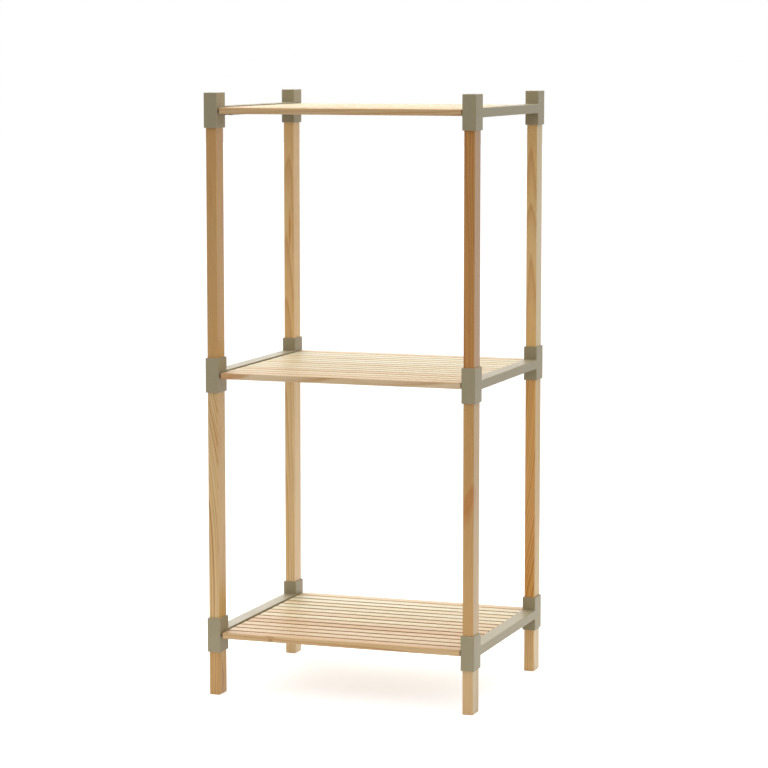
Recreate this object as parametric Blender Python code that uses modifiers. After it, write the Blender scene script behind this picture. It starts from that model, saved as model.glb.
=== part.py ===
"""Slatted shelving unit: pine posts and slats carried by moulded side frames.

Units are metres and +Z is up. The origin is on the floor under the middle of the unit, and the
front of the unit faces -Y. Each tier has a left and a right side frame: two sockets joined by a
rail. Posts stand in the sockets, and slats lie between the rails.
"""
from math import pi, radians

import bmesh
import bpy
from mathutils import Matrix

# Overall size, measured outside the side frames
UNIT_WIDTH = 0.559
UNIT_DEPTH = 0.461

# Heights
FOOT_CLEARANCE = 0.087  # floor to the underside of the lowest sockets
TIER_PITCH = 0.522  # from one shelf to the next
SOCKET_HEIGHT = 0.069

# Posts and feet
POST_WIDTH = 0.0216  # along X
POST_DEPTH = 0.0378  # along Y
POST_ROUND = 0.0012

# Slats
SLAT_COUNT = 14  # in each shelf
SLAT_GAP = 0.00575  # between neighbouring slats
SLAT_THICKNESS = 0.0125
SLAT_ROUND = 0.0018
SLAT_SETBACK = 0.0043  # outermost slats behind the faces of the sockets
SLAT_RECESS = 0.0022  # slat tops below the tops of the rails
SLAT_END_GAP = 0.0025  # slat ends to the side frames

# Side frames
SOCKET_WALL = 0.0027
WEB_THICKNESS = 0.004  # partition between the post above and the post below
CAP_THICKNESS = 0.003  # closed top of the uppermost sockets
FRAME_ROUND = 0.001
RAIL_DROP = 0.0013  # middle of the rail below the middle of the socket
RAIL_WALL = 0.0025  # wall of the rail, which is cored from below
RIB_COUNT = 5
RIB_THICKNESS = 0.002
LEDGE_WIDTH = 0.0145  # how far the ledge under the slats stands in from the rail
LEDGE_THICKNESS = 0.0026
LEDGE_LIFT = 0.0004  # underside of the ledge above the underside of the rail
LEDGE_ROUND = 0.0006
TONGUE_LENGTH = 0.014  # tongue that carries the end of a slat where there is no ledge
TONGUE_WIDTH = 0.012
TONGUE_THICKNESS = 0.005

# Finishes: linear colour and roughness
POST_PINE = (0.62, 0.38, 0.18), 0.55
SLAT_PINE = (0.78, 0.57, 0.32), 0.55
MOULDING = (0.38, 0.35, 0.26), 0.5

# Fits and tessellation
FIT_GAP = 0.0003  # between pieces that touch
CUT_MARGIN = 0.002  # how far a cutter runs out of the face it opens
ROUND_SEGMENTS = 2
SHARP_ANGLE = radians(40)
WELD_DISTANCE = 0.000001
FLAT_ANGLE = radians(1)

# Sizes that follow from the ones above
SOCKET_WIDTH = POST_WIDTH + 2 * (FIT_GAP + SOCKET_WALL)
SOCKET_DEPTH = POST_DEPTH + 2 * (FIT_GAP + SOCKET_WALL)
POST_X = (UNIT_WIDTH - SOCKET_WIDTH) / 2
POST_Y = (UNIT_DEPTH - SOCKET_DEPTH) / 2
RAIL_LENGTH = 2 * POST_Y - SOCKET_DEPTH
RAIL_HEIGHT = SLAT_RECESS + SLAT_THICKNESS + FIT_GAP + LEDGE_THICKNESS + LEDGE_LIFT
RAIL_UNDERSIDE = (SOCKET_HEIGHT - RAIL_HEIGHT) / 2 - RAIL_DROP
RAIL_TOP = RAIL_UNDERSIDE + RAIL_HEIGHT
WEB_UNDERSIDE = (SOCKET_HEIGHT - WEB_THICKNESS) / 2
WEB_TOP = WEB_UNDERSIDE + WEB_THICKNESS
SLAT_SPAN = UNIT_DEPTH - 2 * SLAT_SETBACK
SLAT_WIDTH = (SLAT_SPAN - (SLAT_COUNT - 1) * SLAT_GAP) / SLAT_COUNT
SLAT_PITCH = SLAT_WIDTH + SLAT_GAP
SLAT_LENGTH = UNIT_WIDTH - 2 * (SOCKET_WIDTH + SLAT_END_GAP)
SLAT_MIDDLE = RAIL_TOP - SLAT_RECESS - SLAT_THICKNESS / 2  # above the underside of the sockets
SLAT_YS = [(SLAT_WIDTH - SLAT_SPAN) / 2 + number * SLAT_PITCH for number in range(SLAT_COUNT)]
HUNG_SLAT_YS = [y for y in SLAT_YS if abs(y) > RAIL_LENGTH / 2]  # beside the sockets, past the ledge
MORTISE_DEPTH = TONGUE_LENGTH - SLAT_END_GAP + FIT_GAP

TIERS = {
    "bottom": FOOT_CLEARANCE,
    "middle": FOOT_CLEARANCE + TIER_PITCH,
    "top": FOOT_CLEARANCE + 2 * TIER_PITCH,
}
SIDES = {"left": -1, "right": 1}
ENDS = {"front": -1, "back": 1}


def clear_scene():
    for obj in list(bpy.data.objects):
        bpy.data.objects.remove(obj)


def add_collection(name):
    collection = bpy.data.collections.new(name)
    bpy.context.scene.collection.children.link(collection)
    return collection


def add_material(name, colour, roughness):
    material = bpy.data.materials.new(name)
    material.use_nodes = True
    shader = material.node_tree.nodes["Principled BSDF"]
    shader.inputs["Base Color"].default_value = (*colour, 1.0)
    shader.inputs["Roughness"].default_value = roughness
    shader.inputs["Metallic"].default_value = 0.0
    return material


def add_empty(name, parent, height):
    empty = bpy.data.objects.new(name, None)
    empty.parent = parent
    empty.location.z = height
    PARTS.objects.link(empty)
    return empty


def span(low, high):
    """Size and centre of an interval."""
    return high - low, (low + high) / 2


def centred(size, centre=0.0):
    """Interval of a size about a centre."""
    return centre - size / 2, centre + size / 2


def box_mesh(name, boxes):
    """One mesh of separate boxes, each given by its three (low, high) intervals."""
    bm = bmesh.new()
    for intervals in boxes:
        sizes, centre = zip(*(span(low, high) for low, high in intervals))
        placed = Matrix.Translation(centre) @ Matrix.Diagonal((*sizes, 1.0))
        bmesh.ops.create_cube(bm, size=1.0, matrix=placed)
    mesh = bpy.data.meshes.new(name)
    bm.to_mesh(mesh)
    bm.free()
    return mesh


def add_piece(name, mesh, material, parent, location, turn=0.0):
    piece = bpy.data.objects.new(name, mesh)
    piece.parent = parent
    piece.location = location
    piece.rotation_euler.z = turn
    if not mesh.materials:
        mesh.materials.append(material)
    PARTS.objects.link(piece)
    return piece


def add_tool(name, mesh, carrier):
    """A hidden solid that cuts or extends the piece that carries it."""
    tool = bpy.data.objects.new(name, mesh)
    tool.parent = carrier
    tool.hide_render = True
    tool.display_type = "WIRE"
    CUTTERS.objects.link(tool)
    return tool


def round_edges(piece, radius):
    bevel = piece.modifiers.new("rounded edges", "BEVEL")
    bevel.width = radius
    bevel.segments = ROUND_SEGMENTS
    bevel.limit_method = "ANGLE"
    bevel.angle_limit = SHARP_ANGLE


def combine(piece, tool, operation):
    boolean = piece.modifiers.new(tool.name, "BOOLEAN")
    boolean.operation = operation
    boolean.solver = "EXACT"
    boolean.object = tool


def frame_block_mesh():
    """Two sockets and the rail between them: one outline in the YZ plane, as thick as a socket."""
    near = POST_Y - SOCKET_DEPTH / 2
    far = POST_Y + SOCKET_DEPTH / 2
    back_half = [
        (near, RAIL_UNDERSIDE),
        (near, 0.0),
        (far, 0.0),
        (far, SOCKET_HEIGHT),
        (near, SOCKET_HEIGHT),
        (near, RAIL_TOP),
    ]
    front_half = [(-y, z) for y, z in reversed(back_half)]
    outline = back_half + front_half

    curve = bpy.data.curves.new("frame_outline", "CURVE")
    curve.dimensions = "2D"
    curve.fill_mode = "BOTH"
    curve.extrude = SOCKET_WIDTH / 2
    spline = curve.splines.new("POLY")
    spline.points.add(len(outline) - 1)
    for point, (y, z) in zip(spline.points, outline):
        point.co = (y, z, 0.0, 1.0)
    spline.use_cyclic_u = True
    shape = bpy.data.objects.new("frame_outline", curve)
    CUTTERS.objects.link(shape)
    evaluated = shape.evaluated_get(bpy.context.evaluated_depsgraph_get())
    mesh = bpy.data.meshes.new_from_object(evaluated)
    bpy.data.objects.remove(shape)

    # The outline lies in local XY; turn it so that it stands in YZ and is thick along X.
    stand_up = Matrix.Rotation(pi / 2, 4, "Z") @ Matrix.Rotation(pi / 2, 4, "X")
    bm = bmesh.new()
    bm.from_mesh(mesh)
    bmesh.ops.remove_doubles(bm, verts=bm.verts, dist=WELD_DISTANCE)
    bmesh.ops.dissolve_limit(bm, angle_limit=FLAT_ANGLE, verts=bm.verts, edges=bm.edges)
    bmesh.ops.transform(bm, matrix=stand_up, verts=bm.verts)
    bmesh.ops.recalc_face_normals(bm, faces=bm.faces)
    bm.to_mesh(mesh)
    bm.free()
    mesh.name = "side_frame"
    return mesh


def frame_hollow_mesh(name, pockets):
    """Pockets for the posts in both sockets, and the cells cored out of the rail from below."""
    boxes = []
    for end in ENDS.values():
        for low, high in pockets:
            boxes.append((
                centred(POST_WIDTH + 2 * FIT_GAP),
                centred(POST_DEPTH + 2 * FIT_GAP, end * POST_Y),
                (low, high),
            ))
    cored_length = RAIL_LENGTH - 2 * RAIL_WALL
    cell_pitch = (cored_length + RIB_THICKNESS) / (RIB_COUNT + 1)
    for cell in range(RIB_COUNT + 1):
        start = -cored_length / 2 + cell * cell_pitch
        boxes.append((
            centred(SOCKET_WIDTH - 2 * RAIL_WALL),
            (start, start + cell_pitch - RIB_THICKNESS),
            (RAIL_UNDERSIDE - CUT_MARGIN, RAIL_TOP - RAIL_WALL),
        ))
    return box_mesh(name, boxes)


def frame_carrier_mesh():
    """Ledge under the slats and a tongue for each slat past it, rooted in the frame's walls."""
    inner_face = -SOCKET_WIDTH / 2
    ledge_underside = RAIL_UNDERSIDE + LEDGE_LIFT
    boxes = [(
        (inner_face - LEDGE_WIDTH, inner_face + RAIL_WALL / 2),
        centred(RAIL_LENGTH),
        (ledge_underside, ledge_underside + LEDGE_THICKNESS),
    )]
    for y in HUNG_SLAT_YS:
        boxes.append((
            (inner_face - TONGUE_LENGTH, inner_face + SOCKET_WALL / 2),
            centred(TONGUE_WIDTH, y),
            centred(TONGUE_THICKNESS, SLAT_MIDDLE),
        ))
    return box_mesh("ledge_and_tongues", boxes)


def add_side_frames(tier_empties, material):
    """A left and a right frame in each tier; a left frame is a right one turned half round."""
    block = frame_block_mesh()
    carriers = frame_carrier_mesh()
    lower_pocket = (-CUT_MARGIN, WEB_UNDERSIDE)
    upper_pocket = (WEB_TOP, SOCKET_HEIGHT + CUT_MARGIN)
    capped_pocket = (-CUT_MARGIN, SOCKET_HEIGHT - CAP_THICKNESS)
    open_hollows = frame_hollow_mesh("hollows_open", [lower_pocket, upper_pocket])
    capped_hollows = frame_hollow_mesh("hollows_capped", [capped_pocket])
    for tier, empty in tier_empties.items():
        hollows = capped_hollows if tier == "top" else open_hollows
        for side, sign in SIDES.items():
            turn = 0.0 if sign > 0 else pi
            place = (sign * POST_X, 0.0, 0.0)
            frame = add_piece(f"side_frame_{tier}_{side}", block, material, empty, place, turn)
            round_edges(frame, FRAME_ROUND)
            carrier = add_tool(f"carrier_{tier}_{side}", carriers, frame)
            round_edges(carrier, LEDGE_ROUND)
            combine(frame, carrier, "UNION")
            combine(frame, add_tool(f"hollow_{tier}_{side}", hollows, frame), "DIFFERENCE")


def mortise_mesh():
    """A mortise for a tongue in each end of a slat, open at the end."""
    mouth = SLAT_LENGTH / 2 + CUT_MARGIN
    bottom = SLAT_LENGTH / 2 - MORTISE_DEPTH
    width = centred(TONGUE_WIDTH + 2 * FIT_GAP)
    height = centred(TONGUE_THICKNESS + 2 * FIT_GAP)
    return box_mesh("mortises", [((-mouth, -bottom), width, height), ((bottom, mouth), width, height)])


def add_slats(tier_empties, material):
    """Slats lie on the ledges, and those beside the sockets hang on tongues in their ends."""
    plank = box_mesh("slat", [(centred(SLAT_LENGTH), centred(SLAT_WIDTH), centred(SLAT_THICKNESS))])
    mortises = mortise_mesh()
    for tier, empty in tier_empties.items():
        for number, y in enumerate(SLAT_YS, start=1):
            slat = add_piece(f"slat_{tier}_{number:02d}", plank, material, empty, (0.0, y, SLAT_MIDDLE))
            round_edges(slat, SLAT_ROUND)
            if y in HUNG_SLAT_YS:
                combine(slat, add_tool(f"mortise_{tier}_{number:02d}", mortises, slat), "DIFFERENCE")


def add_posts(unit, material):
    """Upper posts, lower posts and feet, each from seat to seat at the four corners."""
    stretches = {
        "foot": (0.0, TIERS["bottom"] + WEB_UNDERSIDE - FIT_GAP),
        "lower_post": (TIERS["bottom"] + WEB_TOP + FIT_GAP, TIERS["middle"] + WEB_UNDERSIDE - FIT_GAP),
        "upper_post": (
            TIERS["middle"] + WEB_TOP + FIT_GAP,
            TIERS["top"] + SOCKET_HEIGHT - CAP_THICKNESS - FIT_GAP,
        ),
    }
    for kind, (low, high) in stretches.items():
        length, middle = span(low, high)
        timber = box_mesh(kind, [(centred(POST_WIDTH), centred(POST_DEPTH), centred(length))])
        for end, end_sign in ENDS.items():
            for side, side_sign in SIDES.items():
                place = (side_sign * POST_X, end_sign * POST_Y, middle)
                post = add_piece(f"{kind}_{end}_{side}", timber, material, unit, place)
                round_edges(post, POST_ROUND)


clear_scene()
PARTS = add_collection("shelving_unit")
CUTTERS = add_collection("cutters")

unit_empty = add_empty("shelving_unit", None, 0.0)
tiers = {tier: add_empty(f"tier_{tier}", unit_empty, height) for tier, height in TIERS.items()}
add_side_frames(tiers, add_material("grey_beige_moulding", *MOULDING))
add_slats(tiers, add_material("slat_pine", *SLAT_PINE))
add_posts(unit_empty, add_material("post_pine", *POST_PINE))

unit_height = TIERS["top"] + SOCKET_HEIGHT
print(f"unit {UNIT_WIDTH:.3f} x {UNIT_DEPTH:.3f} x {unit_height:.3f} m, slats {SLAT_WIDTH:.5f} m wide")
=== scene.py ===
# %% [markdown]
# # A slatted shelving unit in pine
#
# The unit stands on four corner posts. Each corner of each shelf is a moulded socket, two sockets
# and a rail make one side frame, and pine slats lie between the frames. The shapes come from the
# packed model, at their real size. This lesson gives them their surfaces: pine that looks sawn from
# real logs, a grey-beige moulding, the screws under the ledges, and a white studio.

# %% Load the packed model
from math import cos, pi, radians, sin

import bmesh
import bpy
from mathutils import Matrix, Vector


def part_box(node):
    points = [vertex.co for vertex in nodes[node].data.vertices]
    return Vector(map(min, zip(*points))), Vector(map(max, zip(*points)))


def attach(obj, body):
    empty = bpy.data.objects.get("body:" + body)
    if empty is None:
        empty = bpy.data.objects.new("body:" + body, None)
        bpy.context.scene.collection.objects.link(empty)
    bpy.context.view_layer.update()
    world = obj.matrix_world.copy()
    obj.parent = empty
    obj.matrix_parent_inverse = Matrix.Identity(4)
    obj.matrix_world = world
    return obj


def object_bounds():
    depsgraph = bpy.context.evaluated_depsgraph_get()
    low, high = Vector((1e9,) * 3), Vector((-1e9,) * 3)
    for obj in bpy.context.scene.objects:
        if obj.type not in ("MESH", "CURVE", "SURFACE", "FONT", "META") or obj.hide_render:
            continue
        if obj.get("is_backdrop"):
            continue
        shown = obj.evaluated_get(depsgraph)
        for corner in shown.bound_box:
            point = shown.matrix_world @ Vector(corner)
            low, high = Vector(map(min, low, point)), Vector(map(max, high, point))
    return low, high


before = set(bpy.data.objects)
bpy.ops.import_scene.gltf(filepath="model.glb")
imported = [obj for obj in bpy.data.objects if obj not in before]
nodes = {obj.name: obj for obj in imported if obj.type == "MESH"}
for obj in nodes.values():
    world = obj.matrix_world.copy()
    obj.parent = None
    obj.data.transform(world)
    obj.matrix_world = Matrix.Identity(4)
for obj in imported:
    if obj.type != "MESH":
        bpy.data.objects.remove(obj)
cad_low, cad_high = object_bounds()
print(f"{len(nodes)} pieces, {[round(size, 3) for size in cad_high - cad_low]} m over all")

# %% [markdown]
# ## Edges that catch the light
#
# A planed post has its edges broken with sandpaper, and a moulding leaves its tool with small round
# edges. In the packed solids each of these is two narrow flats, which shade as a hard chamfer. More
# facets would cost a lot and show little. Instead a modifier joins the facets of a piece and lets its
# normals turn smoothly round every edge that bends less than a corner does, and a second one keeps
# the large faces flat by weighing the normals by area. No point moves, so the sizes stay as they are.

# %% Soft edges
SAME_POINT = 0.00001
CORNER_ANGLE = radians(50)
tree = bpy.data.node_groups.new("soft edges", "GeometryNodeTree")
for way in ("INPUT", "OUTPUT"):
    tree.interface.new_socket(name="Mesh", in_out=way, socket_type="NodeSocketGeometry")
mesh_in = tree.nodes.new("NodeGroupInput").outputs[0]
mesh_out = tree.nodes.new("NodeGroupOutput").inputs[0]
joined = tree.nodes.new("GeometryNodeMergeByDistance")
joined.inputs["Distance"].default_value = SAME_POINT
angle = tree.nodes.new("GeometryNodeInputMeshEdgeAngle")
corner = tree.nodes.new("FunctionNodeCompare")
corner.operation = "GREATER_THAN"
corner.inputs["B"].default_value = CORNER_ANGLE
soft = tree.nodes.new("GeometryNodeSetMeshNormal")
for output, socket in (
    (mesh_in, joined.inputs["Geometry"]),
    (angle.outputs["Unsigned Angle"], corner.inputs["A"]),
    (joined.outputs["Geometry"], soft.inputs["Mesh"]),
    (corner.outputs["Result"], soft.inputs["Edge Sharpness"]),
    (soft.outputs["Mesh"], mesh_out),
):
    tree.links.new(output, socket)
for piece in nodes.values():
    piece.modifiers.new("soft edges", "NODES").node_group = tree
    piece.modifiers.new("flat faces", "WEIGHTED_NORMAL").keep_sharp = True
print(f"soft edges on {len(nodes)} pieces")

# %% [markdown]
# ## A short hand for shader nodes
#
# A finish is a recipe: take the place on the piece, stretch a noise along the grain, turn it into a
# mask, mix two colours with the mask. Written with bare node calls, each step takes five lines and
# the recipe disappears. The small class below adds one node per call and gives back its output, so
# a recipe reads from top to bottom. A value may be a number, a tuple or another node's output.

# %% Node helper
NUMBER_RESULTS = ("LENGTH", "DOT_PRODUCT")
MIX_FIRST, MIX_SECOND, MIX_RESULT = 6, 7, 2  # the colour sockets of a Mix node


class Recipe:
    """Adds nodes to one tree and gives back their outputs."""

    def __init__(self, tree):
        self.tree = tree

    def add(self, kind, values=(), **settings):
        node = self.tree.nodes.new(f"ShaderNode{kind}")
        for name, value in settings.items():
            setattr(node, name, value)
        for socket, value in dict(values).items():
            self.feed(node.inputs[socket], value)
        return node

    def feed(self, socket, value):
        if isinstance(value, bpy.types.NodeSocket):
            self.tree.links.new(value, socket)
        else:
            socket.default_value = value

    def own(self, name, output):
        """A value that every piece carries as a property of its object."""
        return self.add("Attribute", attribute_type="OBJECT", attribute_name=name).outputs[output]

    def math(self, operation, first, second=0.0):
        return self.add("Math", {0: first, 1: second}, operation=operation).outputs[0]

    def vector(self, operation, first, second=(0.0, 0.0, 0.0)):
        node = self.add("VectorMath", {0: first, 1: second}, operation=operation)
        return node.outputs["Value" if operation in NUMBER_RESULTS else "Vector"]

    def scaled(self, vector, factor):
        node = self.add("VectorMath", {0: vector, "Scale": factor}, operation="SCALE")
        return node.outputs["Vector"]

    def parts(self, vector):
        return self.add("SeparateXYZ", {0: vector}).outputs

    def noise(self, vector, per_metre, detail=1.0):
        """Noise with so many features in a metre along each axis."""
        place = self.vector("MULTIPLY", vector, per_metre)
        return self.add("TexNoise", {"Vector": place, "Scale": 1.0, "Detail": detail}).outputs

    def ramp(self, factor, stops):
        """A mask from stops of (position, value)."""
        node = self.add("ValToRGB", {"Fac": factor})
        elements = node.color_ramp.elements
        while len(elements) < len(stops):
            elements.new(1.0)
        for element, (position, value) in zip(elements, stops):
            element.position = position
            element.color = (value, value, value, 1.0)
        return node.outputs["Color"]

    def remap(self, value, from_low, from_high, to_low=0.0, to_high=1.0):
        values = {"Value": value, "From Min": from_low, "From Max": from_high}
        values |= {"To Min": to_low, "To Max": to_high}
        return self.add("MapRange", values).outputs["Result"]

    def mix(self, first, second, factor, blend="MIX"):
        node = self.add("Mix", {"Factor": factor}, data_type="RGBA", blend_type=blend)
        self.feed(node.inputs[MIX_FIRST], first)
        self.feed(node.inputs[MIX_SECOND], second)
        return node.outputs[MIX_RESULT]


steps = [name for name in vars(Recipe) if not name.startswith("_")]
print(f"a recipe has {len(steps)} kinds of step: {', '.join(steps)}")

# %% [markdown]
# Node groups and materials always begin with the same few lines, so each has a function. A group gets
# its named sockets, and a material its recipe and its shader. The packed pieces come with plain
# materials. Each is cut or moulded from one stuff, so it takes off the old one and wears one new one.

# %% Groups, materials and dressing
def new_group(name, inputs, outputs):
    """A shader node group with named sockets, given as {name: socket type}."""
    tree = bpy.data.node_groups.new(name, "ShaderNodeTree")
    for way, sockets in (("INPUT", inputs), ("OUTPUT", outputs)):
        for label, kind in sockets.items():
            tree.interface.new_socket(name=label, in_out=way, socket_type=f"NodeSocket{kind}")
    taken = tree.nodes.new("NodeGroupInput").outputs
    given = tree.nodes.new("NodeGroupOutput").inputs
    print(f"group {name}: {', '.join(inputs) or 'nothing'} in, {', '.join(outputs)} out")
    return Recipe(tree), taken, given


def use_group(recipe, name, values=()):
    """A group placed in a recipe, with its own values."""
    node = recipe.add("Group", node_tree=bpy.data.node_groups[name])
    for socket, value in dict(values).items():
        recipe.feed(node.inputs[socket], value)
    return node.outputs


def new_material(name):
    """A material, its recipe and its Principled BSDF."""
    material = bpy.data.materials.new(name)
    material.use_nodes = True
    return material, Recipe(material.node_tree), material.node_tree.nodes["Principled BSDF"]


def dress(piece, material):
    """One material on the whole piece."""
    piece.data.materials.clear()
    piece.data.materials.append(material)


print(f"plain materials that came with the model: {len(bpy.data.materials)}")

# %% [markdown]
# ## Rounded edges
#
# Every piece here has planed or moulded faces that look along X, Y or Z, with small rounded edges
# between them. So the edges can be found from the normal alone: on a face its largest part is one,
# and on a rounded edge it is less. That works on any piece and needs no painting. Both the timber
# and the moulding use it, so it is a node group.

# %% Edge mask
FACE_NORMAL = 0.995
EDGE_NORMAL = 0.94
recipe, taken, given = new_group("Rounded edges", {}, {"Edge": "Float"})
normal = recipe.vector("ABSOLUTE", recipe.add("TexCoord").outputs["Normal"])
parts = recipe.parts(normal)
largest = recipe.math("MAXIMUM", recipe.math("MAXIMUM", parts["X"], parts["Y"]), parts["Z"])
recipe.feed(given["Edge"], recipe.remap(largest, FACE_NORMAL, EDGE_NORMAL))

# %% [markdown]
# ## The figure of pine
#
# Pine's lines are the rings of a trunk, cut lengthways. A piece whose heart lies beside it shows
# straight lines, and one that leans across the rings shows slanting flames. The group below makes
# the trunk: a distance from the heart, folded into a saw-tooth of pale early wood that darkens to a
# line of late wood and starts again. Slow noise bends the trunk, some years are darker than others,
# and fine noise drawn out along the grain gives the fibres. Each piece carries its own place in the
# log as properties of the object, which the group reads, so one group serves every piece.

# %% Reading a piece's place in its log
recipe, taken, given = new_group(
    "Pine figure",
    {"Place": "Vector"},
    {"Late wood": "Float", "Band": "Float", "Cloud": "Float", "Fibre": "Float", "Knot": "Float"},
)
own_place = recipe.vector("ADD", taken["Place"], recipe.own("shift", "Vector"))

# %% [markdown]
# A knot is a branch that the trunk grew around. Its heart is a dark spot, and near it the rings part
# and close again. Drawing every point near the knot towards its middle, before the rings are made,
# parts the rings without any further work. The knot runs through the thickness of the piece. Drawn
# out along the grain, the same spot is a streak of resin. With a slant and a tail, it is the mark of
# a branch that was cut lengthways: it lies on a slope and runs out to one end.

# %% Knots
KNOT_SHAPE = (1.0, 0.2, 0.75)
KNOT_REACH = (0.5, 0.1, 0.13)
KNOT_PULL = 0.8
KNOT_STOPS = [(0.0, 0.8), (0.3, 1.0), (0.52, 0.5), (0.75, 0.0)]
from_knot = recipe.vector("SUBTRACT", taken["Place"], recipe.own("knot", "Vector"))
knot_size = recipe.own("knot_size", "Fac")
slant = recipe.scaled(recipe.own("knot_slant", "Vector"), recipe.parts(from_knot)["X"])
round_off = recipe.vector("MULTIPLY", recipe.vector("SUBTRACT", from_knot, slant), KNOT_SHAPE)
round_off = recipe.vector("MULTIPLY", round_off, recipe.own("knot_shape", "Vector"))
tail = recipe.vector("DOT_PRODUCT", round_off, recipe.own("knot_tail", "Vector"))
distance = recipe.math("ADD", recipe.vector("LENGTH", round_off), tail)
spot = recipe.ramp(recipe.math("DIVIDE", distance, knot_size), KNOT_STOPS)
recipe.feed(given["Knot"], recipe.math("MULTIPLY", spot, recipe.own("knot_depth", "Fac")))
reach = recipe.vector("LENGTH", recipe.vector("MULTIPLY", from_knot, KNOT_REACH))
reach = recipe.remap(recipe.math("DIVIDE", reach, knot_size), 0.0, 1.0, KNOT_PULL, 0.0)
pull = recipe.math("MULTIPLY", reach, reach)
parted = recipe.vector("SUBTRACT", taken["Place"], recipe.scaled(from_knot, pull))
print(f"pine figure: {len(recipe.tree.nodes)} nodes with the knots")

# %% [markdown]
# The trunk itself: the place is measured from the heart, and straightened by the piece's lean and by
# its sweep, the curve of a trunk that grew on a slope. Two noises bend what is left, a slow one for
# the trunk's own waves and a quick one for the small tremble that every ring shows.

# %% Distance from the heart
BEND_PER_METRE = (9.0, 9.0, 2.4)
TREMBLE_PER_METRE = (140.0, 140.0, 7.0)
TREMBLE = 0.0009
MIDDLE = (0.5, 0.5, 0.5)
ACROSS = (1.0, 1.0, 0.0)
from_heart = recipe.vector("SUBTRACT", parted, recipe.own("heart", "Vector"))
along = recipe.parts(from_heart)["Z"]
lean = recipe.scaled(recipe.own("lean", "Vector"), along)
upright = recipe.vector("SUBTRACT", from_heart, lean)
sweep = recipe.scaled(recipe.own("sweep", "Vector"), recipe.math("MULTIPLY", along, along))
upright = recipe.vector("SUBTRACT", upright, sweep)
bend = recipe.vector("SUBTRACT", recipe.noise(own_place, BEND_PER_METRE)["Color"], MIDDLE)
bend = recipe.scaled(bend, recipe.own("bend", "Fac"))
tremble = recipe.vector("SUBTRACT", recipe.noise(own_place, TREMBLE_PER_METRE)["Color"], MIDDLE)
tremble = recipe.scaled(tremble, TREMBLE)
bent = recipe.vector("ADD", upright, recipe.vector("ADD", bend, tremble))
radius = recipe.vector("LENGTH", recipe.vector("MULTIPLY", bent, ACROSS))
print(f"pine figure: {len(recipe.tree.nodes)} nodes with the trunk")

# %% [markdown]
# From the distance come the years. A noise along the radius makes some years wide and some narrow,
# another makes whole runs of years darker, and a cloud lets one stretch of a piece be more amber
# than the next.

# %% Rings, bands, clouds and fibres
YEARS_PER_METRE = (110.0, 1.0, 0.5)
YEAR_SPREAD = 2.0
BANDS_PER_METRE = (85.0, 1.0, 1.2)
CLOUDS_PER_METRE = (22.0, 22.0, 3.5)
FIBRES_PER_METRE = (1300.0, 1300.0, 22.0)
FINE_DETAIL = 2.0
NOISE_LOW, NOISE_HIGH = 0.3, 0.7
LATE_WEAK, LATE_STRONG = 0.3, 1.0
RING_STOPS = [(0.0, 0.0), (0.4, 0.12), (0.75, 0.6), (0.88, 1.0), (1.0, 0.0)]
at_radius = recipe.add("CombineXYZ", {"X": radius, "Z": along}).outputs[0]
at_radius = recipe.vector("ADD", at_radius, recipe.own("shift", "Vector"))
years = recipe.math("MULTIPLY", recipe.noise(at_radius, YEARS_PER_METRE)["Fac"], YEAR_SPREAD)
rings = recipe.math("DIVIDE", radius, recipe.own("ring", "Fac"))
late = recipe.ramp(recipe.math("FRACT", recipe.math("ADD", rings, years)), RING_STOPS)
masks = {}
for label, place, per_metre in (
    ("Band", at_radius, BANDS_PER_METRE),
    ("Cloud", own_place, CLOUDS_PER_METRE),
    ("Fibre", own_place, FIBRES_PER_METRE),
):
    spots = recipe.noise(place, per_metre, FINE_DETAIL)["Fac"]
    masks[label] = recipe.remap(spots, NOISE_LOW, NOISE_HIGH)
    recipe.feed(given[label], masks[label])
strength = recipe.remap(masks["Band"], 0.0, 1.0, LATE_WEAK, LATE_STRONG)
strength = recipe.math("MULTIPLY", strength, recipe.own("figure", "Fac"))
recipe.feed(given["Late wood"], recipe.math("MULTIPLY", late, strength))
print(f"pine figure: {len(recipe.tree.nodes)} nodes with the rings and fibres")

# %% [markdown]
# ## Pine under a clear satin oil
#
# The posts and the slats are the same timber with the same finish. Only the direction differs: a
# post's grain runs up and a slat's runs along the shelf, so the place is turned before it reaches
# the figure. Late wood is darker and a little glossier, cut ends drink the oil and go dark, and the
# sanded edges are paler. Slats are sanded less than posts, so they are the rougher of the two.

# %% Pine colours and gloss
EARLY_WOOD = (0.76, 0.5, 0.235, 1.0)
LATE_WOOD = (0.5, 0.215, 0.055, 1.0)
AMBER = (0.9, 0.78, 0.58, 1.0)
AMBER_WEAK = 0.4
FIBRE_PALE, FIBRE_DARK = 1.05, 0.94
END_SHADE = 0.72
EDGE_SHADE = 1.06
POST_ROUGH, SLAT_ROUGH, END_ROUGH = (0.36, 0.28), (0.5, 0.44), 0.6
GRAIN_BUMP, GRAIN_DEPTH = 0.2, 0.0002
print(f"early wood {EARLY_WOOD[:3]}, late wood {LATE_WOOD[:3]}")

# %% [markdown]
# One function makes the material for either direction. It follows a board through the workshop: the
# rings come first, then the amber clouds, the piece's own tones, the fibres, the cut ends and the
# sanded edges, and gloss and bump last. A piece's narrow sides get a tint of their own, which paints
# light and shade onto them. On a slat that tint begins on the rounded edge, because from the side the
# edge is most of what shows.

# %% Pine materials
FACING = (0.6, 0.95)
SIDE_FACING = {"post": FACING, "slat": (0.2, 0.75)}
GRAIN_AXES = {"post": ("X", "Y", "Z"), "slat": ("Y", "Z", "X")}


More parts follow.
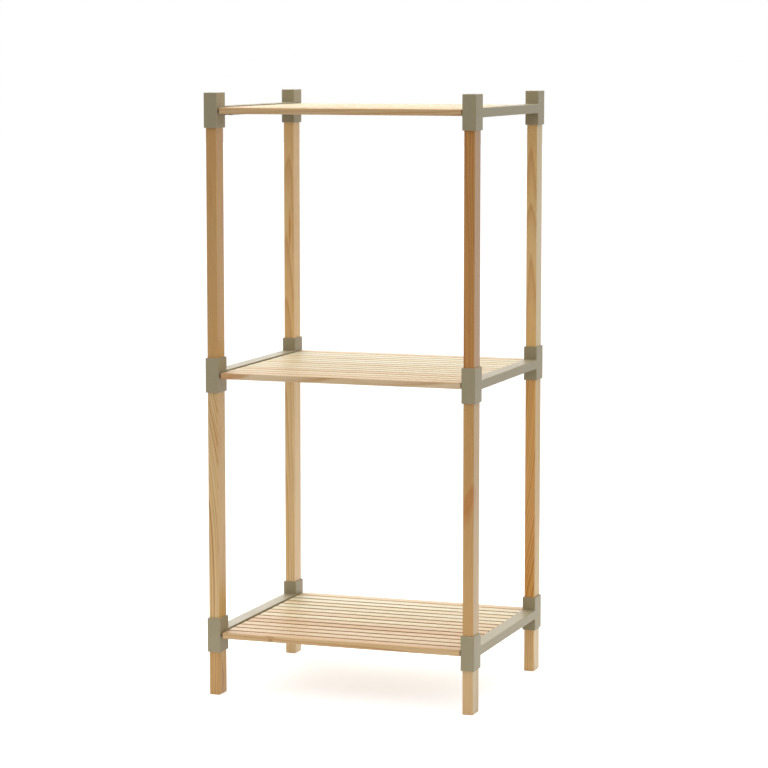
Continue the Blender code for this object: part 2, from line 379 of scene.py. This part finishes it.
def pine_material(name, axes, side_facing, roughness):
    """Pine with its grain on these axes: across, through and along the piece.

    side_facing says how squarely a face looks across before it counts as a narrow side, and
    roughness holds that of early and of late wood.
    """
    material, recipe, shader = new_material(name)
    coordinates = recipe.add("TexCoord").outputs
    point = recipe.parts(coordinates["Object"])
    turned = {socket: point[axis] for socket, axis in zip("XYZ", axes)}
    place = recipe.add("CombineXYZ", turned).outputs[0]
    figure = use_group(recipe, "Pine figure", {"Place": place})
    edge = use_group(recipe, "Rounded edges")["Edge"]
    normal = recipe.parts(coordinates["Normal"])
    side = recipe.remap(recipe.math("ABSOLUTE", normal[axes[0]]), *side_facing)
    end = recipe.remap(recipe.math("ABSOLUTE", normal[axes[2]]), *FACING)

    calm = recipe.remap(side, 0.0, 1.0, 1.0, recipe.own("side_figure", "Fac"))
    late = recipe.math("MULTIPLY", figure["Late wood"], calm)
    colour = recipe.mix(EARLY_WOOD, LATE_WOOD, late)
    amber = recipe.remap(figure["Band"], 0.0, 1.0, AMBER_WEAK, 1.0)
    amber = recipe.math("MULTIPLY", amber, figure["Cloud"])
    colour = recipe.mix(colour, AMBER, amber, "MULTIPLY")
    # The second tint is painted light and shade on the narrow sides.
    for label, where in (("tone", 1.0), ("side_tone", side), ("knot_stain", figure["Knot"])):
        colour = recipe.mix(colour, recipe.own(label, "Color"), where, "MULTIPLY")
    shade = recipe.remap(figure["Fibre"], 0.0, 1.0, FIBRE_PALE, FIBRE_DARK)
    shade = recipe.math("MULTIPLY", shade, recipe.remap(end, 0.0, 1.0, 1.0, END_SHADE))
    shade = recipe.math("MULTIPLY", shade, recipe.remap(edge, 0.0, 1.0, 1.0, EDGE_SHADE))
    recipe.feed(shader.inputs["Base Color"], recipe.scaled(colour, shade))

    rough = recipe.remap(late, 0.0, 1.0, *roughness)
    recipe.feed(shader.inputs["Roughness"], recipe.remap(end, 0.0, 1.0, rough, END_ROUGH))
    height = recipe.math("ADD", figure["Fibre"], late)
    bump = recipe.add("Bump", {"Strength": GRAIN_BUMP, "Distance": GRAIN_DEPTH, "Height": height})
    recipe.feed(shader.inputs["Normal"], bump.outputs["Normal"])
    print(f"material {name}: {len(material.node_tree.nodes)} nodes")
    return material


post_pine = pine_material("post pine", GRAIN_AXES["post"], SIDE_FACING["post"], POST_ROUGH)
slat_pine = pine_material("slat pine", GRAIN_AXES["slat"], SIDE_FACING["slat"], SLAT_ROUGH)

# %% [markdown]
# ## Tones
#
# No two pieces of a real unit have quite the same colour. A material for each would repeat the whole
# recipe. A tone is a tint that multiplies the pine instead, so the rings stay as they are. The posts
# run from a red amber to a pale cream, and the slats from biscuit to linen; the back posts' pale tones
# and the slats' pale, bluish tones are partly painted light, a painted sheen on the slat tops. The
# side tints paint light and shade onto a piece's narrow sides: a cool painted sheen or a warm painted
# shade on the posts, painted light on the outer slats' edges and painted shade in the gaps between
# the others. The last three tints stain the wood where a knot, a streak or a branch is.

# %% Tints of timber, sides and stains
TONES_AND_PAINTED_LIGHT = {
    "amber": (0.8, 0.59, 0.32, 1.0),
    "russet": (1.1, 0.95, 0.6, 1.0),
    "honey": (0.88, 0.8, 0.63, 1.0),
    "straw": (0.97, 1.0, 1.04, 1.0),
    "flax": (1.05, 1.16, 1.24, 1.0),
    # The butter and pale tones, worn only by the back posts and feet, are partly painted light that
    # stands in for the light the shelves keep off them.
    "butter": (1.24, 1.28, 1.24, 1.0),
    "pale": (1.22, 1.4, 1.62, 1.0),
    "biscuit": (0.9, 0.93, 0.95, 1.0),
    # From blush to linen the slat tones rise in green and blue past pine's own colour: partly painted
    # sheen on the tops.
    "blush": (1.0, 1.17, 1.48, 1.0),
    "wheat": (1.02, 1.23, 1.6, 1.0),
    "oat": (1.07, 1.43, 2.0, 1.0),
    "linen": (1.09, 1.56, 2.43, 1.0),
}
PLAIN_SIDES = (1.0, 1.0, 1.0, 1.0)
# These side tints paint light and shade onto the posts' narrow sides: a cool painted sheen, or a warm,
# darker painted shade.
COOL_SHEEN_PAINTED_SIDES = (0.88, 1.0, 1.18, 1.0)
GREY_SHEEN_PAINTED_SIDES = (0.8, 0.94, 1.15, 1.0)
WARM_SHADE_PAINTED_SIDES = (1.06, 1.03, 0.64, 1.0)
DARK_SHADE_PAINTED_SIDES = (0.94, 0.86, 0.6, 1.0)
# The slats' edge tints: painted light on the long edges of the outer slats, painted shade in the gaps
# between the inner ones.
OUTER_EDGE_PAINTED_LIGHT = (1.12, 1.16, 1.3, 1.0)
GAP_EDGE_DEEP_PAINTED_SHADE = (0.62, 0.48, 0.4, 1.0)
GAP_EDGE_SOFT_PAINTED_SHADE = (0.9, 0.85, 0.8, 1.0)
RESIN = (0.5, 0.27, 0.16, 1.0)
PITCH = (0.8, 0.52, 0.3, 1.0)
BRANCH_WOOD = (0.9, 0.7, 0.52, 1.0)
by_light = sorted(TONES_AND_PAINTED_LIGHT, key=lambda tone: sum(TONES_AND_PAINTED_LIGHT[tone]))
print(f"{len(TONES_AND_PAINTED_LIGHT)} tones of pine, from {by_light[0]} to {by_light[-1]}")

# %% [markdown]
# ## Sawing the pieces
#
# How a piece was cut from its log decides its lines. A straight cut runs beside the heart. A swept
# one crosses the rings of a curved trunk, so its lines slant and straighten out. An arched one lies
# in front of the heart and leans towards it, so its rings close in arches. A cut is a small set of
# values, and one cut is made from another by changing what differs.

# %% Cuts
STRAIGHT = {"lean": (0.01, 0.01), "sweep": 0.0, "bend": 0.006, "ring": 0.0026}
STRAIGHT |= {"figure": 0.8, "side_figure": 1.0}
QUIET = STRAIGHT | {"figure": 0.35}
STRIPED = STRAIGHT | {"figure": 1.3, "ring": 0.0045}
SWEPT_LEFT = {"lean": (-0.1, 0.0), "sweep": -0.26, "bend": 0.012, "ring": 0.0046}
SWEPT_LEFT |= {"heart": (-0.07, 0.03), "figure": 1.35, "side_figure": 0.25}
SWEPT_RIGHT = {"lean": (0.14, 0.0), "sweep": -0.16, "bend": 0.01, "ring": 0.004}
SWEPT_RIGHT |= {"heart": (0.07, 0.03), "figure": 1.5, "side_figure": 0.25}
ARCHED = {"lean": (0.0, 0.022), "sweep": 0.0, "bend": 0.018, "ring": 0.004}
ARCHED |= {"heart": (-0.002, 0.018), "figure": 0.75, "side_figure": 0.4}
print(f"narrowest ring {STRAIGHT['ring']} m, widest {SWEPT_LEFT['ring']} m")

# %% [markdown]
# Knots and stains are sets of values too, which a cut takes on. Each has a place on its piece, a
# size, a shape that draws it out, and a stain. A piece without a knot gets one too small to see.

# %% Knots, streaks and branches
PIN_KNOT = {"knot_size": 0.0028, "knot_shape": (1.0, 1.0, 1.0), "knot_depth": 1.0, "knot_stain": RESIN}
PIN_KNOT |= {"knot_slant": (0.0, 0.0, 0.0), "knot_tail": (0.0, 0.0, 0.0)}
NO_KNOT = PIN_KNOT | {"knot": (0.0, 0.0, 0.0), "knot_size": 0.00001}
SPECK = PIN_KNOT | {"knot_size": 0.004, "knot_shape": (1.0, 4.0, 0.6), "knot_depth": 0.6}
STREAK = {"knot": (0.002, -0.02, -0.012), "knot_size": 0.0042, "knot_shape": (1.0, 1.0, 0.08)}
STREAK |= {"knot_depth": 0.9, "knot_stain": PITCH}
FLAME = {"knot": (0.001, -0.02, 0.044), "knot_size": 0.016, "knot_shape": (1.0, 1.0, 0.3)}
FLAME |= {"knot_depth": 1.0, "knot_stain": BRANCH_WOOD}
BRANCH = FLAME | {"knot_size": 0.03, "knot_shape": (1.0, 6.0, 1.05)}
BRANCH |= {"knot_slant": (0.0, 0.0, 1.7), "knot_tail": (0.0, 0.0, 0.45)}
print(f"knots from {PIN_KNOT['knot_size']} to {BRANCH['knot_size']} m")

# %% [markdown]
# The posts show most, so what the eye picks out on them is set one by one: the tone of the front, the
# tone of the sides, and the cut. Each stretch of a post between two sockets is a piece of its own.

# %% Posts and feet
# The back posts' butter and pale tones are partly painted light; the side tints are painted sheen and
# painted shade.
POSTS = {
    "upper_post_front_right": ("amber", COOL_SHEEN_PAINTED_SIDES, STRAIGHT | {"figure": 1.2}),
    "upper_post_front_left": ("honey", WARM_SHADE_PAINTED_SIDES, STRAIGHT),
    "upper_post_back_left": ("butter", PLAIN_SIDES, ARCHED | STREAK | {"figure": 1.1}),
    "upper_post_back_right": ("butter", GREY_SHEEN_PAINTED_SIDES, ARCHED),
    "lower_post_front_right": ("honey", COOL_SHEEN_PAINTED_SIDES, QUIET | BRANCH),
    "lower_post_front_left": ("flax", DARK_SHADE_PAINTED_SIDES, SWEPT_LEFT),
    "lower_post_back_left": ("pale", PLAIN_SIDES, STRAIGHT),
    "lower_post_back_right": ("russet", GREY_SHEEN_PAINTED_SIDES, SWEPT_RIGHT),
    "foot_front_right": ("straw", COOL_SHEEN_PAINTED_SIDES, QUIET | PIN_KNOT | {"knot": (0.0046, 0.0, 0.002)}),
    "foot_front_left": ("honey", WARM_SHADE_PAINTED_SIDES, STRIPED),
    "foot_back_left": ("pale", PLAIN_SIDES, STRAIGHT),
    "foot_back_right": ("butter", GREY_SHEEN_PAINTED_SIDES, STRIPED),
}
print(f"{len(POSTS)} posts and feet to cut")

# %% [markdown]
# The slats are listed from the front of each shelf to the back. As the photo shows them, the front
# ones are pinker and those behind are paler, which is partly painted sheen. The outermost slats show
# a whole long edge, which is tinted as pale as the tops: painted light. The edges between slats are
# tinted darker as painted shade in the gaps, most of all on the bottom shelf, which is seen from
# higher up.

# %% Slats
# Slat tones, front to back on each shelf: partly real tone, partly painted sheen that grows towards
# the back.
SHELVES = {
    "bottom": "biscuit blush wheat blush biscuit blush oat wheat oat linen oat linen linen blush",
    "middle": "blush wheat oat wheat linen oat linen oat linen linen oat linen linen blush",
    "top": "biscuit blush oat wheat oat linen wheat oat linen linen oat linen linen oat",
}
OUTER_ROWS = ("01", "14")
INNER_EDGE_PAINTED_SHADE = {"bottom": GAP_EDGE_DEEP_PAINTED_SHADE, "middle": GAP_EDGE_SOFT_PAINTED_SHADE, "top": GAP_EDGE_SOFT_PAINTED_SHADE}
SLAT_CUT = STRAIGHT | {"figure": 1.0}
KNOTTY_SLATS = {
    "slat_middle_01": SLAT_CUT | FLAME | {"knot": (-0.0135, 0.0, -0.25)},
    "slat_bottom_01": SLAT_CUT | SPECK | {"knot": (-0.0135, -0.002, -0.146)},
}
print(f"slats to cut: {[len(tones.split()) for tones in SHELVES.values()]}")

# %% [markdown]
# Each piece is now given its place in a log. A property of the object holds each value, in the axes
# of the grain: across, through and along the piece. No two pieces come from the same place, and
# random numbers would do, but steps of the golden ratio spread the hearts and shifts more evenly, and
# always the same way.

# %% Grain of every piece
GOLDEN_RATIO = 0.618034
LOG_SPREAD = 4.0
SHIFT_STEPS = (11.0, 13.0, 17.0)
HEART_NEAR, HEART_SPREAD, HEART_DEPTH = 0.012, 0.06, 0.05
DEPTH_STEP, SIDE_STEP = 2.0, 3.0


def scatter(number, step=1.0):
    """A fraction from -0.5 to 0.5 that jumps about as the number grows."""
    return (number * GOLDEN_RATIO * step) % 1.0 - 0.5


def saw_piece(piece, number, axes, tone, painted_side_tint, cut):
    """Give a piece its tone and its place in the log, in the axes of its grain."""
    low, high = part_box(piece.name)
    middle = (low + high) / 2
    middle = Vector([middle["XYZ".index(axis)] for axis in axes])
    cut = NO_KNOT | cut
    away = HEART_NEAR + HEART_SPREAD * abs(scatter(number))
    beside = away if scatter(number, SIDE_STEP) > 0 else -away
    heart = cut.get("heart", (beside, HEART_DEPTH * scatter(number, DEPTH_STEP)))
    piece["heart"] = middle + Vector((*heart, 0.0))
    piece["lean"] = Vector((*cut["lean"], 0.0))
    piece["sweep"] = Vector((cut["sweep"], 0.0, 0.0))
    piece["shift"] = Vector([LOG_SPREAD * scatter(number, step) for step in SHIFT_STEPS])
    piece["knot"] = middle + Vector(cut["knot"])
    for label in ("knot_shape", "knot_slant", "knot_tail"):
        piece[label] = Vector(cut[label])
    for label in ("bend", "ring", "figure", "side_figure", "knot_size", "knot_depth"):
        piece[label] = cut[label]
    piece["tone"] = TONES_AND_PAINTED_LIGHT[tone]
    # The side tint is painted light and shade.
    piece["side_tone"] = painted_side_tint
    piece["knot_stain"] = cut["knot_stain"]


slats = 0
for number, name in enumerate(sorted(nodes)):
    piece = nodes[name]
    if name in POSTS:
        saw_piece(piece, number, GRAIN_AXES["post"], *POSTS[name])
        dress(piece, post_pine)
    elif name.startswith("slat_"):
        shelf, row = name.split("_")[1:]
        tone = SHELVES[shelf].split()[int(row) - 1]
        # The edge tint is painted light on the outer rows and painted shade in the gaps on the others.
        edges = OUTER_EDGE_PAINTED_LIGHT if row in OUTER_ROWS else INNER_EDGE_PAINTED_SHADE[shelf]
        saw_piece(piece, number, GRAIN_AXES["slat"], tone, edges, KNOTTY_SLATS.get(name, SLAT_CUT))
        dress(piece, slat_pine)
        slats += 1
print(f"{len(POSTS)} posts and feet sawn, and {slats} slats")

# %% [markdown]
# ## Grey-beige moulding
#
# The side frames are moulded in one colour. The mould is spark-eroded, which leaves a fine even
# grain, so the light spreads softly. A plain colour would look dead on the large faces, so a slow
# cloud shifts its shade and its gloss a little.

# %% Moulding material
MOULDING_COLOUR = (0.376, 0.32, 0.195)
SPARKS_PER_METRE = (1500.0, 1500.0, 1500.0)
MOTTLE_PER_METRE = (14.0, 14.0, 14.0)
MOTTLE_DETAIL = 3.0
MOTTLE_SHADE = (0.96, 1.04)
SPARK_SHADE = (0.97, 1.03)
# The rounded edges are made paler: a painted highlight.
PAINTED_EDGE_HIGHLIGHT = 1.08
MOULDING_ROUGH = (0.44, 0.52)
SPARK_BUMP, SPARK_DEPTH = 0.15, 0.0002
moulding, recipe, shader = new_material("moulding")
place = recipe.add("TexCoord").outputs["Object"]
sparks = recipe.noise(place, SPARKS_PER_METRE, FINE_DETAIL)["Fac"]
mottle = recipe.noise(place, MOTTLE_PER_METRE, MOTTLE_DETAIL)["Fac"]
edge = use_group(recipe, "Rounded edges")["Edge"]
shade = recipe.remap(mottle, NOISE_LOW, NOISE_HIGH, *MOTTLE_SHADE)
shade = recipe.math("MULTIPLY", shade, recipe.remap(sparks, NOISE_LOW, NOISE_HIGH, *SPARK_SHADE))
# Paler on the rounded edges, as a painted highlight.
shade = recipe.math("MULTIPLY", shade, recipe.remap(edge, 0.0, 1.0, 1.0, PAINTED_EDGE_HIGHLIGHT))
recipe.feed(shader.inputs["Base Color"], recipe.scaled(MOULDING_COLOUR, shade))
rough = recipe.remap(mottle, NOISE_LOW, NOISE_HIGH, *MOULDING_ROUGH)
recipe.feed(shader.inputs["Roughness"], rough)
bump = recipe.add("Bump", {"Strength": SPARK_BUMP, "Distance": SPARK_DEPTH, "Height": sparks})
recipe.feed(shader.inputs["Normal"], bump.outputs["Normal"])
side_frames = [piece for name, piece in nodes.items() if name.startswith("side_frame_")]
for piece in side_frames:
    dress(piece, moulding)
print(f"moulding on {len(side_frames)} side frames")

# %% [markdown]
# ## Screws under the ledges
#
# Each side frame has a ledge on its inside, and twelve slats are screwed to it from below. The
# outermost two sit on tongues instead. A raised countersunk head shows as a low dome. It could be a
# flattened ball, but a head is flatter in the middle and turns down at its rim, so its outline is
# drawn and turned about the screw's axis. The shanks are inside the wood and aren't made.

# %% The dome of a screw head
HEAD_RADIUS, HEAD_HEIGHT = 0.0034, 0.0009
DOME_STEPS, TURN_STEPS = 6, 28
DOME_FULLNESS = 0.6


def mesh_object(name, bm):
    """A bmesh made into an object of the scene."""
    mesh = bpy.data.meshes.new(name)
    bm.to_mesh(mesh)
    bm.free()
    made = bpy.data.objects.new(name, mesh)
    bpy.context.scene.collection.objects.link(made)
    return made


def domed_head():
    """A head below the origin, without its cross."""
    bm = bmesh.new()
    outline = [bm.verts.new((0.0, 0.0, 0.0))]
    for step in range(DOME_STEPS + 1):
        turn = pi / 2 * step / DOME_STEPS
        out = HEAD_RADIUS * max(cos(turn), 0.0) ** DOME_FULLNESS
        outline.append(bm.verts.new((out, 0.0, -HEAD_HEIGHT * sin(turn) ** DOME_FULLNESS)))
    lines = [bm.edges.new(pair) for pair in zip(outline, outline[1:])]
    bmesh.ops.spin(bm, geom=outline + lines, axis=(0, 0, 1), angle=2 * pi, steps=TURN_STEPS)
    bmesh.ops.remove_doubles(bm, verts=bm.verts, dist=SAME_POINT)
    bmesh.ops.recalc_face_normals(bm, faces=bm.faces)
    return mesh_object("head", bm)


head = domed_head()
print(f"dome of a screw head: {len(head.data.polygons)} faces")

# %% [markdown]
# A cross is cut into the head with two thin blocks and a Boolean each, as the punch does that makes
# the real one. The result is kept as a mesh, and the head and the blocks go away.

# %% The cross in the head
CROSS_LENGTH, CROSS_WIDTH, CROSS_DEPTH = 0.0036, 0.0009, 0.0007


def cross_bar(size):
    """A block that reaches into the head from below."""
    bm = bmesh.new()
    bmesh.ops.create_cube(bm, size=1.0)
    bmesh.ops.scale(bm, vec=(*size, 2 * CROSS_DEPTH), verts=bm.verts)
    bmesh.ops.translate(bm, vec=(0.0, 0.0, -HEAD_HEIGHT), verts=bm.verts)
    return mesh_object("bar", bm)


bars = [cross_bar((CROSS_LENGTH, CROSS_WIDTH)), cross_bar((CROSS_WIDTH, CROSS_LENGTH))]
for bar in bars:
    head.modifiers.new("cross", "BOOLEAN").object = bar
head_mesh = bpy.data.meshes.new_from_object(head.evaluated_get(bpy.context.evaluated_depsgraph_get()))
for made in (head, *bars):
    bpy.data.objects.remove(made)
print(f"screw head with its cross: {len(head_mesh.polygons)} faces")

# %% [markdown]
# Zinc-plated steel is a metal with a soft, uneven gloss, so its roughness and its grey both follow a
# fine noise.

# %% Zinc
ZINC_DARK, ZINC_LIGHT = (0.5, 0.5, 0.48, 1.0), (0.68, 0.68, 0.67, 1.0)
ZINC_ROUGH = (0.3, 0.5)
ZINC_PER_METRE = (900.0, 900.0, 900.0)
zinc, recipe, shader = new_material("zinc-plated steel")
spangle = recipe.noise(recipe.add("TexCoord").outputs["Object"], ZINC_PER_METRE, FINE_DETAIL)["Fac"]
spangle = recipe.remap(spangle, NOISE_LOW, NOISE_HIGH)
recipe.feed(shader.inputs["Base Color"], recipe.mix(ZINC_DARK, ZINC_LIGHT, spangle))
recipe.feed(shader.inputs["Roughness"], recipe.remap(spangle, 0.0, 1.0, *ZINC_ROUGH))
shader.inputs["Metallic"].default_value = 1.0
print(f"material {zinc.name}: {len(zinc.node_tree.nodes)} nodes")

# %% [markdown]
# The heads go where the slats are: under each inner slat, a little in from its end. Each is turned to
# another angle, as a screwdriver leaves them. The twelve heads under one ledge are one piece.

# %% Screws in place
BELOW_SLAT = 0.0028
FROM_SLAT_END = 0.0069
SMOOTH_BELOW = radians(40)
for shelf in SHELVES:
    inner_slats = sorted(name for name in nodes if name.startswith(f"slat_{shelf}_"))[1:-1]
    for side, way in (("left", -1), ("right", 1)):
        bm = bmesh.new()
        for number, slat in enumerate(inner_slats):
            low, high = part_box(slat)
            place = Vector((way * (high.x - FROM_SLAT_END), (low.y + high.y) / 2, low.z - BELOW_SLAT))
            turn = Matrix.Rotation(pi * scatter(number + way), 4, "Z")
            earlier = len(bm.verts)
            bm.from_mesh(head_mesh)
            bm.verts.ensure_lookup_table()
            bmesh.ops.transform(bm, matrix=Matrix.Translation(place) @ turn, verts=bm.verts[earlier:])
        screws = mesh_object(f"screws_{shelf}_{side}", bm)
        screws.data.shade_smooth()
        screws.data.set_sharp_from_angle(angle=SMOOTH_BELOW)
        dress(screws, zinc)
        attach(screws, "root")
        print(f"{screws.name}: {len(inner_slats)} heads")

# %% [markdown]
# ## The studio floor
#
# The unit stands on a sheet of white paper that ends some way off, so the light that it throws back
# is strongest low down, as in the photo. The paper is real and takes the shadow. What the camera
# and the reflections see of it is lifted to white.

# %% Floor
FLOOR_HALF_WIDTH = 30.0
PAPER_WHITE, ROOM_GREY = 0.85, 0.2
PAPER_EDGE, ROOM_EDGE = 0.9, 2.4
PAPER_LIFT = 0.6
WHITE = (1.0, 1.0, 1.0, 1.0)


def seen_directly(recipe, mirrored=1.0):
    """One on rays from the camera or through glass, and so much of one in reflections."""
    path = recipe.add("LightPath").outputs
    mirrored = recipe.math("MULTIPLY", path["Is Glossy Ray"], mirrored)
    seen = recipe.math("MAXIMUM", path["Is Camera Ray"], path["Is Transmission Ray"])
    return recipe.math("MAXIMUM", seen, mirrored)


paper, recipe, shader = new_material("studio paper")
away = recipe.vector("LENGTH", recipe.add("TexCoord").outputs["Object"])
room = recipe.remap(away, PAPER_EDGE, ROOM_EDGE)
recipe.feed(shader.inputs["Base Color"], recipe.remap(room, 0.0, 1.0, PAPER_WHITE, ROOM_GREY))
shader.inputs["Roughness"].default_value = 1.0
shader.inputs["Specular IOR Level"].default_value = 0.0
shader.inputs["Emission Color"].default_value = WHITE
lift = recipe.remap(room, 0.0, 1.0, PAPER_LIFT, 1.0)
recipe.feed(shader.inputs["Emission Strength"], recipe.math("MULTIPLY", lift, seen_directly(recipe)))
bm = bmesh.new()
bmesh.ops.create_grid(bm, x_segments=1, y_segments=1, size=FLOOR_HALF_WIDTH)
floor = mesh_object("studio_floor", bm)
dress(floor, paper)
floor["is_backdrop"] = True
print(f"floor of {2 * FLOOR_HALF_WIDTH:.0f} m, white to {PAPER_EDGE} m from the middle")

# %% [markdown]
# ## Light
#
# The light comes from a wide bright ceiling that fades towards the walls, so tops are light and
# fronts calmer, and the lower shelves still get light past the shelf above. A sky that brightens
# with height does this with no lamp in the way. The camera sees it as plain white, and so do
# reflections of what is behind the unit.

# %% Sky
WALL_HEIGHT = 0.1
WALL_LIGHT, CEILING_LIGHT = 0.3, 1.35
DARK_SIDE, WHITE_SIDE = -0.4, 0.3
world = bpy.data.worlds.new("white studio")
bpy.context.scene.world = world
world.use_nodes = True
recipe = Recipe(world.node_tree)
direction = recipe.parts(recipe.add("TexCoord").outputs["Generated"])
sky = recipe.remap(direction["Z"], WALL_HEIGHT, 1.0, WALL_LIGHT, CEILING_LIGHT)
backdrop = recipe.remap(direction["Y"], DARK_SIDE, WHITE_SIDE)
background = world.node_tree.nodes["Background"]
background.inputs["Color"].default_value = WHITE
strength = recipe.remap(seen_directly(recipe, backdrop), 0.0, 1.0, sky, 1.0)
recipe.feed(background.inputs["Strength"], strength)
print(f"sky: {WALL_LIGHT} at the walls, {CEILING_LIGHT} overhead")

# %% [markdown]
# Three soft lamps help the sky: one overhead, for a gentle shadow, a wide one high up on the left,
# which reaches in under the shelves, and one low behind the unit, which the satin tops mirror as a
# pale sheen. Each is a rectangle of light that looks at the middle of the unit, and the camera
# doesn't see it.

# %% Lamps
LAMPS = {
    "overhead_softbox": {"place": (0.3, 0.3, 3.0), "size": (2.4, 2.4), "watts": 11.0},
    "side_softbox": {"place": (-3.8, 3.2, 3.7), "size": (4.0, 4.0), "watts": 97.0},
    "back_softbox": {"place": (-1.7, 3.0, 1.1), "size": (2.4, 1.8), "watts": 22.0},
}
UNIT_MIDDLE = (cad_low + cad_high) / 2
for name, setting in LAMPS.items():
    lamp = bpy.data.lights.new(name, "AREA")
    lamp.shape = "RECTANGLE"
    lamp.size, lamp.size_y = setting["size"]
    lamp.energy = setting["watts"]
    softbox = bpy.data.objects.new(name, lamp)
    softbox.location = setting["place"]
    softbox.rotation_euler = (UNIT_MIDDLE - softbox.location).to_track_quat("-Z", "Y").to_euler()
    softbox.visible_camera = False
    bpy.context.scene.collection.objects.link(softbox)
    print(f"{name}: {setting['watts']} W")

# %% [markdown]
# ## Camera
#
# The camera was found by fitting the model's edges to the photo's: a long lens from nearly six metres
# away, a little above the top shelf, so that all three shelves show their tops.

# %% Camera
CAMERA_PLACE = (1.919, -5.397, 1.293)
CAMERA_DIP, CAMERA_TURN = radians(6.784), radians(19.446)
SENSOR_WIDTH, LENS = 36.0, 133.73
camera = bpy.data.objects.new("camera", bpy.data.cameras.new("camera"))
camera.location = CAMERA_PLACE
camera.rotation_euler = (pi / 2 - CAMERA_DIP, 0.0, CAMERA_TURN)
camera.data.sensor_width = SENSOR_WIDTH
camera.data.lens = LENS
bpy.context.scene.collection.objects.link(camera)
bpy.context.scene.camera = camera
bpy.context.scene.view_settings.view_transform = "Standard"
print(f"camera: {LENS} mm lens, {(camera.location - UNIT_MIDDLE).length:.2f} m from the unit")

# %% [markdown]
# ## Sizes
#
# The sizes of the packed model and of the dressed unit are both printed, so that they can be compared.
# The dressed unit has to stay inside the box of the packed model.

# %% Sizes
low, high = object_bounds()
print(f"dressed unit: {[round(size, 3) for size in high - low]} m over all")
